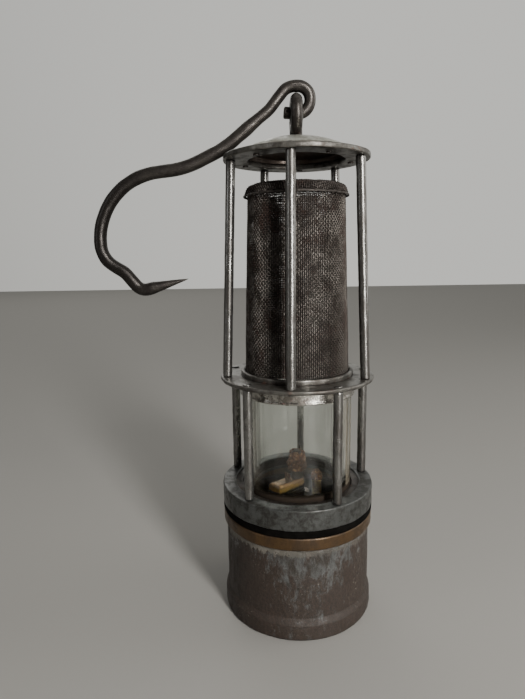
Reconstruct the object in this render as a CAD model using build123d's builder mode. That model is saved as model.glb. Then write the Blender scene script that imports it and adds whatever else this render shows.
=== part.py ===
"""Miner's flame safety lamp: fuel vessel, glass, gauze chimney, pillars, swivel and hook.

Millimetres. +Z is up and the origin is the centre of the vessel's foot, on the table.
The hook leans to -X. Pillar angles are counted about +Z from +X.
"""
from build123d import *
import os
from math import cos, radians, sin, sqrt

os.makedirs("parts", exist_ok=True)

# ---- driving dimensions -------------------------------------------------------------------
PILLARS = 5
running_gap = 0.05  # radial clearance of every turning or sliding fit

# fuel vessel
vessel_r = 40.45
foot_r = 41.9
foot_top = 8.5
flare_top = 12.0
shell_wall = 1.2
shell_top = 55.5
bottom_z = 9.0  # underside of the recessed bottom plate
bottom_thick = 1.2
collar_z = 50.5  # lower edge of the brass screw collar
collar_r = 41.9
collar_top = 57.7
neck_r = 38.35  # screwed neck that enters the base ring
neck_top = 68.0
neck_bore_r = 36.2
deck_z = 58.0
deck_top = 60.0

# seal ring between vessel and lamp frame
seal_top = 61.8
seal_r = 42.1

# base ring
base_r = 42.2
base_top = 72.8
base_thread_top = 69.3
glass_thread_r = 34.8

# glass cylinder and its two gaskets
glass_r = 30.0
glass_wall = 5.2
glass_height = 60.0
glass_z = 70.8
glass_top = glass_z + glass_height
gasket_thick = 0.9

# pillars
pillar_r = 2.5
tenon_r = 1.6
peen_r = 2.4
peen_high = 0.7
lower_circle_r = 38.5
upper_circle_r = 38.4  # at the middle plate
upper_circle_top_r = 34.0  # at the top disc
upper_first_angle = -98.0
lower_first_angle = upper_first_angle + 180.0 / PILLARS

# middle plate
plate_z = 131.7
plate_top = 133.8
plate_r = 41.8
plate_bore_r = 23.0
glass_collar_z = 123.85
glass_collar_r = 31.3

# gauze chimney
gauze_foot_r = 28.45
gauze_taper = 0.0297  # radius lost for each millimetre of height
gauze_wall = 0.7
gauze_top = 231.0
gauze_cap_z = 226.2
gauze_cap_top = 236.0
gauze_cap_r = 27.9
inner_gauze_gap = 3.6
inner_gauze_top = 226.0

# top disc, dome and swivel
disc_z = 245.3
disc_top = 247.9
disc_r = 37.9
disc_bore_r = 25.3
dome_top = 257.2
dome_sphere_r = 60.0
dome_wall = 1.2
dome_shoulder_r = 27.0
dome_flange_r = 31.2
eye_wire_r = 3.1
eye_ring_r = 7.3
pivot_z = 275.1
eye_centre_z = pivot_z - eye_ring_r

# hook
hook_eye_rod_r = 3.0
hook_rod_r = 3.4
hook_tip_r = 0.35

# burner and its drives
wick_r = 2.4
wick_bore_r = 2.7
wick_tube_r = 3.3
wick_drive_at = (12.0, 7.0)
relighter_reach = 12.8  # from the burner's axis to the relighter spindle
relighter_heading = 222.0  # from the burner towards the housing's far end
drive_rod_r = 1.5


def gauze_r(z):
    """Outer radius of the tapering chimney at height z."""
    return gauze_foot_r - gauze_taper * (z - plate_top)


def polar(radius, angle):
    """Point on a circle about the lamp's axis."""
    return radius * cos(radians(angle)), radius * sin(radians(angle))


def finish(builder, name):
    """Label one finished piece and write it to its own STEP file."""
    builder.part.label = name
    export_step(builder.part, f"parts/{name}.step")


def ring(name, z_low, z_high, r_out, r_in=0.0, at=(0, 0), edge=0.0):
    """Plain disc, tube or washer, with its outer rims broken by a small chamfer."""
    with BuildPart() as piece:
        with BuildSketch(Plane.XY.offset(z_low)):
            with Locations(at):
                Circle(r_out)
                if r_in:
                    Circle(r_in, mode=Mode.SUBTRACT)
        extrude(amount=z_high - z_low)
        if edge:
            rims = piece.edges().filter_by(GeomType.CIRCLE).filter_by(lambda e: e.radius > r_out - 0.01)
            chamfer(rims, edge)
    finish(piece, name)


def turned(name, outline):
    """Solid of revolution about the lamp's axis, from (radius, height) corners."""
    with BuildPart() as piece:
        with BuildSketch(Plane.XZ):
            with BuildLine():
                Polyline(*outline, close=True)
            make_face()
        revolve(axis=Axis.Z)
    finish(piece, name)


# ---- fuel vessel --------------------------------------------------------------------------
shell_bore_r = vessel_r - shell_wall

turned("vessel_shell", [
    (shell_bore_r, 0), (foot_r - 0.6, 0), (foot_r, 0.6), (foot_r, foot_top),
    (vessel_r, flare_top), (vessel_r, shell_top), (shell_bore_r, shell_top),
])

# screw collar: soldered over the shell, with the notch that the lock bolt drops into
bolt_r = 1.8
bolt_z = 54.1
with BuildPart() as screw_collar:
    with BuildSketch(Plane.XZ):
        with BuildLine():
            Polyline(
                (vessel_r, collar_z), (collar_r - 0.9, collar_z), (collar_r, collar_z + 0.9),
                (collar_r, collar_top - 0.6), (collar_r - 0.6, collar_top), (neck_r, collar_top),
                (neck_r, neck_top - 0.5), (neck_r - 0.5, neck_top), (neck_bore_r, neck_top),
                (neck_bore_r, shell_top), (vessel_r, shell_top),
                close=True,
            )
        make_face()
    revolve(axis=Axis.Z)
    with BuildSketch(Plane.XZ.offset(-vessel_r)):
        with Locations((0, bolt_z)):
            Circle(bolt_r + 0.3)
    extrude(amount=-3.0, mode=Mode.SUBTRACT)
finish(screw_collar, "screw_collar")

filler_at = polar(25.0, 115.0)
relighter_at = polar(relighter_reach, relighter_heading)
filler_bore_r = 5.0
filler_neck_r = 7.0
filler_neck_z = 7.6
filler_neck_top = 14.0
gland_r = 3.6
relighter_tube_r = 3.2

with BuildPart() as vessel_bottom:
    with BuildSketch(Plane.XY.offset(bottom_z)):
        Circle(shell_bore_r)
        with Locations(filler_at):
            Circle(filler_neck_r, mode=Mode.SUBTRACT)
        with Locations(wick_drive_at):
            Circle(gland_r, mode=Mode.SUBTRACT)
        with Locations(relighter_at):
            Circle(relighter_tube_r, mode=Mode.SUBTRACT)
    extrude(amount=bottom_thick)
finish(vessel_bottom, "vessel_bottom")

with BuildPart() as vessel_deck:
    with BuildSketch(Plane.XY.offset(deck_z)):
        Circle(neck_bore_r)
        Circle(wick_tube_r, mode=Mode.SUBTRACT)
        with Locations(relighter_at):
            Circle(relighter_tube_r, mode=Mode.SUBTRACT)
    extrude(amount=deck_top - deck_z)
    with BuildSketch(Plane.XY.offset(deck_z - 7)):  # bearing boss for the wick spindle
        with Locations(wick_drive_at):
            Circle(3.6)
            Circle(drive_rod_r + running_gap, mode=Mode.SUBTRACT)
    extrude(amount=7)
finish(vessel_deck, "vessel_deck")

ring("filler_neck", filler_neck_z, filler_neck_top, filler_neck_r, filler_bore_r, filler_at)
ring("filler_washer", filler_neck_z - 0.8, filler_neck_z, filler_neck_r, filler_bore_r, filler_at)
ring("cotton_wadding", 15.0, 49.0, 38.6, 19.5)

plug_head_z = 3.6
plug_head_r = 7.6
with BuildPart() as filler_plug:
    with BuildSketch(Plane.XY.offset(plug_head_z)):
        with Locations(filler_at):
            Circle(plug_head_r)
    extrude(amount=filler_neck_z - 0.8 - plug_head_z)
    chamfer(filler_plug.edges().group_by(Axis.Z)[0], 0.6)
    with BuildSketch(Plane.XY.offset(plug_head_z)):
        with Locations(filler_at):
            Circle(filler_bore_r)
    extrude(amount=filler_neck_top - 0.6 - plug_head_z)
    with BuildSketch(Plane.XY.offset(plug_head_z)):  # coin slot
        with Locations(filler_at):
            Rectangle(2 * plug_head_r + 1, 1.6)
    extrude(amount=1.6, mode=Mode.SUBTRACT)
finish(filler_plug, "filler_plug")

# ---- wick drive ---------------------------------------------------------------------------
knob_z = 2.0
knob_top = 6.6
knob_r = 7.6
gland_z = 7.4


def knurled_knob(name, at, rod_r, rod_top, teeth):
    """Knob with a scalloped rim on a long spindle that reaches up to rod_top."""
    with BuildPart() as knob:
        with BuildSketch(Plane.XY.offset(knob_z)):
            with Locations(at):
                Circle(knob_r)
                with PolarLocations(knob_r + 0.55, teeth):
                    Circle(0.95, mode=Mode.SUBTRACT)
        extrude(amount=knob_top - knob_z)
        with BuildSketch(Plane.XY.offset(knob_top)):
            with Locations(at):
                Circle(rod_r)
        extrude(amount=rod_top - knob_top)
    finish(knob, name)


ring("wick_gland", gland_z, 14.0, gland_r, drive_rod_r + running_gap, wick_drive_at, 0.4)
knurled_knob("wick_knob", wick_drive_at, drive_rod_r, deck_z - 1.0, 20)

screw_r = 2.4
screw_low = 20.0
screw_high = 48.0
ring("wick_screw", screw_low, screw_high, screw_r, drive_rod_r, wick_drive_at, 0.3)

carrier_z = 26.0
carrier_thick = 5.0
carrier_hub_r = 5.0
carrier_nut_r = 4.4
with BuildPart() as wick_carrier:
    with BuildSketch(Plane.XY.offset(carrier_z)):
        with BuildLine():
            Line((0, 0), wick_drive_at)
        trace(line_width=4.0)
        Circle(carrier_hub_r)
        with Locations(wick_drive_at):
            Circle(carrier_nut_r)
            Circle(screw_r + running_gap, mode=Mode.SUBTRACT)
        Circle(wick_r, mode=Mode.SUBTRACT)
    extrude(amount=carrier_thick)
finish(wick_carrier, "wick_carrier")

wick_top = 89.6
ring("wick", 16.0, wick_top, wick_r, edge=0.8)
wick_tube_low = 44.0
crown_z = 78.6
crown_top = 88.8
ring("wick_tube", wick_tube_low, crown_top - 1.2, wick_tube_r, wick_bore_r)

# crown: a pierced collar with a narrower nozzle on top
crown_r = 5.3
crown_step = 84.0
with BuildPart() as burner_crown:
    with BuildSketch(Plane.XZ):
        with BuildLine():
            Polyline(
                (wick_tube_r, crown_z), (crown_r - 0.7, crown_z), (crown_r, crown_z + 1.2),
                (crown_r, crown_step - 1.2), (crown_r - 0.6, crown_step), (wick_tube_r + 0.6, crown_top),
                (wick_bore_r, crown_top), (wick_bore_r, crown_top - 1.2), (wick_tube_r, crown_top - 1.2),
                close=True,
            )
        make_face()
    revolve(axis=Axis.Z)
    with Locations((0, 0, crown_z + 3.2)):
        with PolarLocations(crown_r, 8):
            Cylinder(0.75, 2.0, rotation=(0, 90, 0), mode=Mode.SUBTRACT)
finish(burner_crown, "burner_crown")

burner_flange_r = 8.6
burner_flange_top = deck_top + 1.4
burner_hub_r = 4.5
burner_hub_top = 66.0
turned("burner_base", [
    (wick_tube_r, deck_top), (burner_flange_r, deck_top), (burner_flange_r, burner_flange_top),
    (burner_hub_r, burner_flange_top), (burner_hub_r, burner_hub_top), (wick_tube_r, burner_hub_top),
])

# three round-head deck screws share one node
screw_circle_r = 11.2
screw_head_r = 2.4
with BuildPart() as burner_screws:
    for angle in (-97.0, 60.0, 180.0):
        x, y = polar(screw_circle_r, angle)
        with Locations((x, y, deck_top)):
            Sphere(screw_head_r)
    split(bisect_by=Plane.XY.offset(deck_top), keep=Keep.TOP)
finish(burner_screws, "burner_screws")

# ---- relighter ----------------------------------------------------------------------------
housing_reach = 17.6
housing_r = 4.3
housing_z = 68.3
housing_top = 74.0
housing_skin = 0.7
floor_thick = 0.8
rod_gap_r = drive_rod_r + running_gap
housing_plane = Plane((0, 0, housing_z), x_dir=(*polar(1.0, relighter_heading), 0), z_dir=(0, 0, 1))

# housing: a hollow block, round where it wraps the wick tube, with a slot for the strip on top
with BuildPart() as relighter_housing:
    with BuildSketch(housing_plane):
        Circle(housing_r)
        with Locations((housing_reach / 2, 0)):
            Rectangle(housing_reach, 2 * housing_r)
    extrude(amount=housing_top - housing_z)
    fillet(relighter_housing.edges().group_by(Axis.Z)[-1], 1.6)
    with BuildSketch(housing_plane):
        Circle(housing_r - housing_skin)
        with Locations(((housing_reach - housing_skin) / 2, 0)):
            Rectangle(housing_reach - housing_skin, 2 * (housing_r - housing_skin))
    extrude(amount=housing_top - housing_z - 1.2, mode=Mode.SUBTRACT)
    with BuildSketch(housing_plane):
        Circle(wick_tube_r)
        with Locations((relighter_reach / 2, 0)):
            Rectangle(1.2, 3.4)
    extrude(amount=housing_top - housing_z, mode=Mode.SUBTRACT)
finish(relighter_housing, "relighter_housing")

# bracket: a foot tube on the deck and the floor plate that closes the housing
bracket_foot_r = 3.4
with BuildPart() as relighter_bracket:
    with BuildSketch(housing_plane.offset(-floor_thick)):
        Circle(housing_r)
        with Locations((housing_reach / 2, 0)):
            Rectangle(housing_reach, 2 * housing_r)
        Circle(wick_tube_r, mode=Mode.SUBTRACT)
    extrude(amount=floor_thick)
    with BuildSketch(Plane.XY.offset(deck_top + 0.4)):
        with Locations(relighter_at):
            Circle(bracket_foot_r)
    extrude(amount=housing_z - floor_thick - deck_top - 0.4)
    with BuildSketch(Plane.XY.offset(deck_top)):
        with Locations(relighter_at):
            Circle(rod_gap_r)
    extrude(amount=housing_z - deck_top, mode=Mode.SUBTRACT)
finish(relighter_bracket, "relighter_bracket")

with BuildPart() as relighter_tube:
    with BuildSketch(Plane.XY.offset(gland_z)):
        with Locations(relighter_at):
            Circle(relighter_tube_r)
            Circle(rod_gap_r, mode=Mode.SUBTRACT)
    extrude(amount=deck_top + 0.4 - gland_z)
finish(relighter_tube, "relighter_tube")

relighter_rod_top = 72.2
knurled_knob("relighter_knob", relighter_at, drive_rod_r, relighter_rod_top, 14)

wheel_z = 69.0
wheel_top = 71.0
wheel_r = 2.9
wheel_teeth = 12
with BuildPart() as relighter_wheel:
    with BuildSketch(Plane.XY.offset(wheel_z)):
        with Locations(relighter_at):
            Circle(wheel_r)
            with PolarLocations(wheel_r + 0.2, wheel_teeth):
                Circle(0.6, mode=Mode.SUBTRACT)
            Circle(drive_rod_r, mode=Mode.SUBTRACT)
    extrude(amount=wheel_top - wheel_z)
finish(relighter_wheel, "relighter_wheel")

strip_at = polar(6.6, relighter_heading)
strip_roll_r = 2.9
ring("relighter_strip", housing_z + 0.3, housing_top - 1.5, strip_roll_r, 1.0, strip_at)

# striker: a springy finger that stands over the strip slot
striker_high = 4.0
with BuildPart() as striker_plate:
    with BuildSketch(housing_plane.offset(housing_top - housing_z)):
        with Locations((relighter_reach / 2 + 1.2, 0)):
            Rectangle(0.6, 4.0)
    extrude(amount=striker_high)
finish(striker_plate, "striker_plate")

# ---- seal ring ----------------------------------------------------------------------------
ring("seal_ring", collar_top, seal_top, seal_r, neck_r + 0.3, edge=0.3)

# ---- base ring and its lock ---------------------------------------------------------------
lock_circle_r = 47.6
lock_half = 6.0
lock_z = 51.4
lock_high = 18.4
bolt_tip_y = collar_r + 0.4
bolt_length = 4.2
lock_bore_end = 50.6
lock_nose_r = 4.0

with BuildPart() as base_ring:
    with BuildSketch(Plane.XZ):
        with BuildLine():
            Polyline(
                (neck_r + running_gap, seal_top), (base_r, seal_top), (base_r, base_top - 0.5),
                (base_r - 0.4, base_top), (glass_thread_r + 0.5, base_top), (glass_thread_r, base_top - 0.5),
                (glass_thread_r, base_thread_top), (neck_r + running_gap, base_thread_top),
                close=True,
            )
        make_face()
    revolve(axis=Axis.Z)
    with BuildSketch(Plane.XY.offset(base_top)):
        with PolarLocations(lower_circle_r, PILLARS, start_angle=lower_first_angle):
            Circle(tenon_r)
    extrude(amount=-3.2, mode=Mode.SUBTRACT)
finish(base_ring, "base_ring")

# lock housing: a block that hugs the base ring and hangs past the screw collar, at the back
with BuildPart() as lock_housing:
    with BuildSketch(Plane.XY.offset(lock_z)):
        with BuildLine():
            Polyline((-lock_half, 40.0), (-lock_half, lock_circle_r), (lock_half, lock_circle_r), (lock_half, 40.0))
            Line((lock_half, 40.0), (-lock_half, 40.0))
        make_face()
        with Locations((0, lock_circle_r)):
            Circle(lock_nose_r)
        Circle(base_r, mode=Mode.SUBTRACT)
    extrude(amount=lock_high)
    with BuildSketch(Plane.XZ.offset(-40.0)):
        with Locations((0, bolt_z)):
            Circle(bolt_r + running_gap)
    extrude(amount=-(lock_bore_end - 40.0), mode=Mode.SUBTRACT)
finish(lock_housing, "lock_housing")

with BuildPart() as lock_bolt:
    with BuildSketch(Plane.XZ.offset(-bolt_tip_y)):
        with Locations((0, bolt_z)):
            Circle(bolt_r)
    extrude(amount=-bolt_length)
finish(lock_bolt, "lock_bolt")

with BuildPart() as lock_spring:  # closed outline of the coil between bolt and bore end
    with BuildSketch(Plane.XZ.offset(-bolt_tip_y - bolt_length - 0.05)):
        with Locations((0, bolt_z)):
            Circle(bolt_r - 0.2)
            Circle(0.9, mode=Mode.SUBTRACT)
    extrude(amount=-(lock_bore_end - bolt_tip_y - bolt_length - 0.1))
finish(lock_spring, "lock_spring")

# ---- glass and what holds it --------------------------------------------------------------
glass_bore_r = glass_r - glass_wall
seat_z = glass_z - gasket_thick
clamp_low = 68.7
clamp_bore_r = 25.6
turned("glass_clamp_ring", [
    (clamp_bore_r, clamp_low), (glass_thread_r - 0.6, clamp_low), (glass_thread_r - 0.6, base_thread_top),
    (glass_thread_r, base_thread_top), (glass_thread_r, 71.8), (glass_r + 0.9, 71.8),
    (glass_r + 0.9, seat_z), (clamp_bore_r, seat_z),
])
ring("glass_seat_gasket", seat_z, glass_z, glass_r, clamp_bore_r)
ring("glass_top_gasket", glass_top, plate_z, glass_r, clamp_bore_r)
with BuildPart() as glass:
    with BuildSketch(Plane.XY.offset(glass_z)):
        Circle(glass_r)
        Circle(glass_bore_r, mode=Mode.SUBTRACT)
    extrude(amount=glass_height)
    chamfer(glass.edges().filter_by(GeomType.CIRCLE), 0.5)
finish(glass, "glass")

turned("glass_collar", [
    (glass_r + 0.3, glass_collar_z), (glass_collar_r + 0.4, glass_collar_z),
    (glass_collar_r + 0.4, glass_collar_z + 1.0), (glass_collar_r, glass_collar_z + 1.4),
    (glass_collar_r, plate_z), (glass_r + 0.3, plate_z),
])

# ---- middle plate -------------------------------------------------------------------------
upper_height = disc_z - plate_top
upper_lean = (upper_circle_top_r - upper_circle_r) / upper_height
upper_angles = [upper_first_angle + 360.0 / PILLARS * k for k in range(PILLARS)]
lower_angles = [lower_first_angle + 360.0 / PILLARS * k for k in range(PILLARS)]


def upper_axis_at(angle, z):
    """Point of an upper pillar's leaning centreline at height z."""
    return polar(upper_circle_r + upper_lean * (z - plate_top), angle)


def lean_direction(angle):
    """Direction of an upper pillar, from its foot to its head."""
    return Vector(*polar(upper_lean, angle), 1.0).normalized()


def lean_length(rise):
    """Length along a leaning pillar for a rise in height."""
    return rise * sqrt(1.0 + upper_lean**2)


with BuildPart() as middle_plate:
    with BuildSketch(Plane.XY.offset(plate_z)):
        Circle(plate_r)
        Circle(plate_bore_r, mode=Mode.SUBTRACT)
        with Locations(*[polar(lower_circle_r, a) for a in lower_angles]):
            Circle(tenon_r, mode=Mode.SUBTRACT)
    extrude(amount=plate_top - plate_z)
    fillet(middle_plate.edges().filter_by(GeomType.CIRCLE).filter_by(lambda e: e.radius > plate_r - 0.01), 0.7)
    for angle in upper_angles:
        with BuildSketch(Plane.XY.offset(plate_z - 0.5)):
            with Locations(upper_axis_at(angle, plate_z - 0.5)):
                Circle(tenon_r)
        extrude(amount=lean_length(plate_top - plate_z + 1.0), dir=lean_direction(angle), mode=Mode.SUBTRACT)
finish(middle_plate, "middle_plate")

# ---- pillars, each turned from one rod with a tenon at both ends ---------------------------
for number, angle in enumerate(lower_angles, 1):
    foot = polar(lower_circle_r, angle)
    with BuildPart() as lower_pillar:
        for z_low, z_high, radius in (
            (base_top - 3.0, plate_top, tenon_r),
            (base_top, plate_z, pillar_r),
            (plate_top, plate_top + peen_high, peen_r),
        ):
            with BuildSketch(Plane.XY.offset(z_low)):
                with Locations(foot):
                    Circle(radius)
            extrude(amount=z_high - z_low)
        chamfer(lower_pillar.edges().group_by(Axis.Z)[-1], 0.4)
    finish(lower_pillar, f"lower_pillar_{number}")

for number, angle in enumerate(upper_angles, 1):
    with BuildPart() as upper_pillar:
        for z_low, z_high, radius in (
            (plate_z - peen_high, plate_z, peen_r),
            (plate_z, disc_top, tenon_r),
            (plate_top, disc_z, pillar_r),
            (disc_top, disc_top + peen_high, peen_r),
        ):
            with BuildSketch(Plane.XY.offset(z_low)):
                with Locations(upper_axis_at(angle, z_low)):
                    Circle(radius)
            extrude(amount=lean_length(z_high - z_low), dir=lean_direction(angle))
        chamfer(upper_pillar.edges().group_by(Axis.Z)[-1], 0.4)
        chamfer(upper_pillar.edges().group_by(Axis.Z)[0], 0.4)
    finish(upper_pillar, f"upper_pillar_{number}")

# ---- gauze chimney ------------------------------------------------------------------------
foot_wall_r = gauze_foot_r + 0.05
turned("gauze_foot_ring", [
    (plate_bore_r, plate_top), (30.8, plate_top), (30.8, plate_top + 2.2), (30.2, plate_top + 2.8),
    (foot_wall_r, plate_top + 2.8), (foot_wall_r, plate_top + 0.8), (plate_bore_r, plate_top + 0.8),
])

gauze_base_z = plate_top + 0.8
turned("outer_gauze", [
    (gauze_r(gauze_base_z) - gauze_wall, gauze_base_z), (gauze_r(gauze_base_z), gauze_base_z),
    (gauze_r(gauze_top), gauze_top), (gauze_r(gauze_top) - gauze_wall, gauze_top),
])

inner_wall = 0.6
inner_low_r = gauze_r(gauze_base_z) - inner_gauze_gap
inner_high_r = gauze_r(inner_gauze_top) - inner_gauze_gap
turned("inner_gauze", [
    (inner_low_r - inner_wall, gauze_base_z), (inner_low_r, gauze_base_z), (inner_high_r, inner_gauze_top - 1.5),
    (inner_high_r - 1.5, inner_gauze_top), (0, inner_gauze_top), (0, inner_gauze_top - inner_wall),
    (inner_high_r - 1.8, inner_gauze_top - inner_wall), (inner_high_r - inner_wall, inner_gauze_top - 1.8),
])

# gauze cap: rolled hem, flared skirt, round shoulder, nearly flat crown
cap_wall = 1.2
cap_bend_r = 4.0
cap_skirt_r = gauze_cap_r - 0.5
cap_shoulder_r = cap_skirt_r - 1.2
cap_crown_r = cap_shoulder_r - cap_bend_r
cap_bend_z = gauze_cap_top - cap_bend_r
cap_crown_z = gauze_cap_top - 0.6
hem_z = gauze_cap_z + 1.0
with BuildPart() as gauze_cap:
    with BuildSketch(Plane.XZ):
        with BuildLine():
            Polyline(
                (gauze_r(gauze_cap_z) + 0.02, gauze_cap_z), (gauze_cap_r, gauze_cap_z),
                (gauze_cap_r, hem_z), (cap_skirt_r, hem_z + 0.5), (cap_shoulder_r, cap_bend_z),
            )
            RadiusArc((cap_shoulder_r, cap_bend_z), (cap_crown_r, cap_crown_z), -4.2)
            Polyline(
                (cap_crown_r, cap_crown_z), (0, gauze_cap_top), (0, gauze_cap_top - cap_wall),
                (cap_crown_r, cap_crown_z - cap_wall),
            )
            RadiusArc((cap_crown_r, cap_crown_z - cap_wall), (cap_shoulder_r - cap_wall, cap_bend_z), 3.2)
            Polyline(
                (cap_shoulder_r - cap_wall, cap_bend_z), (gauze_r(gauze_top) + 0.1, gauze_top),
                (gauze_r(gauze_cap_z) + 0.02, gauze_cap_z),
            )
        make_face()
    revolve(axis=Axis.Z)
finish(gauze_cap, "gauze_cap")

# ---- top disc and dome --------------------------------------------------------------------
rivet_circle_r = 29.4
rivet_r = 0.9
rivet_angles = [a + 180.0 / PILLARS for a in upper_angles]

with BuildPart() as top_disc:
    with BuildSketch(Plane.XY.offset(disc_z)):
        Circle(disc_r)
        Circle(disc_bore_r, mode=Mode.SUBTRACT)
        with Locations(*[polar(rivet_circle_r, a) for a in rivet_angles]):
            Circle(rivet_r, mode=Mode.SUBTRACT)
    extrude(amount=disc_top - disc_z)
    fillet(top_disc.edges().filter_by(GeomType.CIRCLE).filter_by(lambda e: e.radius > disc_r - 0.01), 0.9)
    for angle in upper_angles:
        with BuildSketch(Plane.XY.offset(disc_z - 0.5)):
            with Locations(upper_axis_at(angle, disc_z - 0.5)):
                Circle(tenon_r)
        extrude(amount=lean_length(disc_top - disc_z + 1.0), dir=lean_direction(angle), mode=Mode.SUBTRACT)
finish(top_disc, "top_disc")


def crown_z_at(radius, sphere_r):
    """Height of a crown sphere, tangent to the dome's top, at a distance from the axis."""
    return dome_top - sphere_r + sqrt(sphere_r**2 - radius**2)


swivel_hole_r = 3.0
flange_thick = 0.9
inner_sphere_r = dome_sphere_r - dome_wall
crown_edge_z = crown_z_at(dome_shoulder_r - 2.0, dome_sphere_r)
inner_drop = dome_wall
with BuildPart() as dome:
    with BuildSketch(Plane.XZ):
        with BuildLine():
            crown_mid_r = 14.0
            ThreePointArc(
                (swivel_hole_r, crown_z_at(swivel_hole_r, dome_sphere_r)),
                (crown_mid_r, crown_z_at(crown_mid_r, dome_sphere_r)),
                (dome_shoulder_r - 2.0, crown_edge_z),
            )
            Polyline(
                (dome_shoulder_r - 2.0, crown_edge_z), (dome_shoulder_r, crown_edge_z - 1.4),
                (dome_shoulder_r + 0.6, disc_top + flange_thick), (dome_flange_r, disc_top + flange_thick),
                (dome_flange_r, disc_top), (dome_shoulder_r - 1.2, disc_top),
                (dome_shoulder_r - 1.4, crown_edge_z - 1.6), (dome_shoulder_r - 2.4, crown_edge_z - inner_drop),
            )
            ThreePointArc(
                (dome_shoulder_r - 2.4, crown_edge_z - inner_drop),
                (crown_mid_r, crown_z_at(crown_mid_r, dome_sphere_r) - inner_drop),
                (swivel_hole_r, crown_z_at(swivel_hole_r, dome_sphere_r) - inner_drop),
            )
            Line(
                (swivel_hole_r, crown_z_at(swivel_hole_r, dome_sphere_r) - inner_drop),
                (swivel_hole_r, crown_z_at(swivel_hole_r, dome_sphere_r)),
            )
        make_face()
    revolve(axis=Axis.Z)
    with BuildSketch(Plane.XY.offset(disc_top)):
        with Locations(*[polar(rivet_circle_r, a) for a in rivet_angles]):
            Circle(rivet_r)
    extrude(amount=flange_thick, mode=Mode.SUBTRACT)
finish(dome, "dome")

# five rivets share one node
rivet_head_r = 1.5
with BuildPart() as dome_rivets:
    for z_low, z_high, radius in (
        (disc_z - 0.6, disc_z, rivet_head_r),
        (disc_z, disc_top + flange_thick, rivet_r),
        (disc_top + flange_thick, disc_top + flange_thick + 0.8, rivet_head_r),
    ):
        with BuildSketch(Plane.XY.offset(z_low)):
            with Locations(*[polar(rivet_circle_r, a) for a in rivet_angles]):
                Circle(radius)
        extrude(amount=z_high - z_low)
    chamfer(dome_rivets.edges().group_by(Axis.Z)[-1], 0.5)
finish(dome_rivets, "dome_rivets")

# ---- swivel eye ---------------------------------------------------------------------------
shank_r = 2.9
stem_foot = dome_top + 0.3
washer_top = 255.6
washer_low = 254.6
head_low = 252.8
stem_r = 3.3
stem_high = 3.4
head_r = 4.4
washer_r = 6.4
with BuildPart() as swivel_eye:
    with Locations((0, 0, eye_centre_z)):
        Torus(eye_ring_r, eye_wire_r, rotation=(0, 90, 0))
    with BuildSketch(Plane.XY.offset(stem_foot)):
        Circle(stem_r)
    extrude(amount=stem_high)
    with BuildSketch(Plane.XY.offset(washer_low)):
        Circle(shank_r)
    extrude(amount=stem_foot - washer_low)
    with BuildSketch(Plane.XY.offset(head_low)):
        Circle(head_r)
    extrude(amount=washer_low - head_low)
    chamfer(swivel_eye.edges().group_by(Axis.Z)[0], 0.9)
finish(swivel_eye, "swivel_eye")
ring("swivel_washer", washer_low, washer_top, washer_r, shank_r)

# ---- hook: an eye, an arm that leans on the disc's rim, a round bend and a tapered point ----
stub_end = (-6.4, 269.0)
eye_route = [stub_end, (7.2, 268.05), (7.2, 281.6), (-4.5, 281.6), (-13.5, 270.7), (-18.2, 266.98)]
eye_radii = [6.3, 6.3, 8.0, 20.0]
arm_start = (-25.25, 261.4)
arm_route = [
    arm_start, (-37.0, 252.1), (-57.5, 242.6), (-103.4, 237.4), (-103.4, 197.4),
    (-91.2, 189.8), (-83.5, 180.0), (-77.0, 181.55),
]
arm_radii = [60.0, 50.0, 35.5, 13.0, 11.0, 6.0]
hook_tip = (-57.5, 186.2)


def crosswise(start, end, at):
    """Plane square to the line from start to end, both in the hook's XZ plane, standing at a point."""
    return Plane(origin=(at[0], 0, at[1]), z_dir=(end[0] - start[0], 0, end[1] - start[1]))


with BuildPart() as hook:
    for corners, radii, radius in ((eye_route, eye_radii, hook_eye_rod_r), (arm_route, arm_radii, hook_rod_r)):
        with BuildLine(Plane((0, 0, 0), x_dir=(1, 0, 0), z_dir=(0, -1, 0))) as rod_line:
            FilletPolyline(*corners, radius=radii)
        with BuildSketch(crosswise(corners[0], corners[1], corners[0])):
            Circle(radius)
        sweep(path=rod_line.line)
    for start, end, r_start, r_end in (
        (eye_route[-1], arm_start, hook_eye_rod_r, hook_rod_r),
        (arm_route[-1], hook_tip, hook_rod_r, hook_tip_r),
    ):
        with BuildSketch(crosswise(start, end, start)):
            Circle(r_start)
        with BuildSketch(crosswise(start, end, end)):
            Circle(r_end)
        loft()
    chamfer(hook.edges().filter_by(GeomType.CIRCLE).sort_by(lambda e: abs(e.center().X - stub_end[0]))[0], 0.5)
finish(hook, "hook")
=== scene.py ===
import math

import bpy
import numpy as np
from mathutils import Matrix, Vector, noise


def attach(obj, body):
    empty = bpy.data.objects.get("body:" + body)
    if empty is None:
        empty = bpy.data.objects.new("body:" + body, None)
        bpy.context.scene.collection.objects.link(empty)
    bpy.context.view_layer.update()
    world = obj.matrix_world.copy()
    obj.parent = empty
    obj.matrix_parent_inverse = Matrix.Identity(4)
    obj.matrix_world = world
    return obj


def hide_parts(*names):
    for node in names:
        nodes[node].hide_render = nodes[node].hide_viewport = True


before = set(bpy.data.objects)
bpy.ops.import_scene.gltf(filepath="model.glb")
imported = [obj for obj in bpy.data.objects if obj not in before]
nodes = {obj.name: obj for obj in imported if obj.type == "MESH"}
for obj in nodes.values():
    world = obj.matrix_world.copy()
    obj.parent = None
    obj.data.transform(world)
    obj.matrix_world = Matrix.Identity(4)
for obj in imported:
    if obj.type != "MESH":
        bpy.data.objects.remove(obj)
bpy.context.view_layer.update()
MM = 0.001  # outlines and wires below are in millimetres, the scene is in metres
DOME_TOP = 257.2
DOME_SPHERE_R = 60.0
finishes = {}  # every material of the lamp, by name

# ---------------------------------------------------------------- shader helpers


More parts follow.
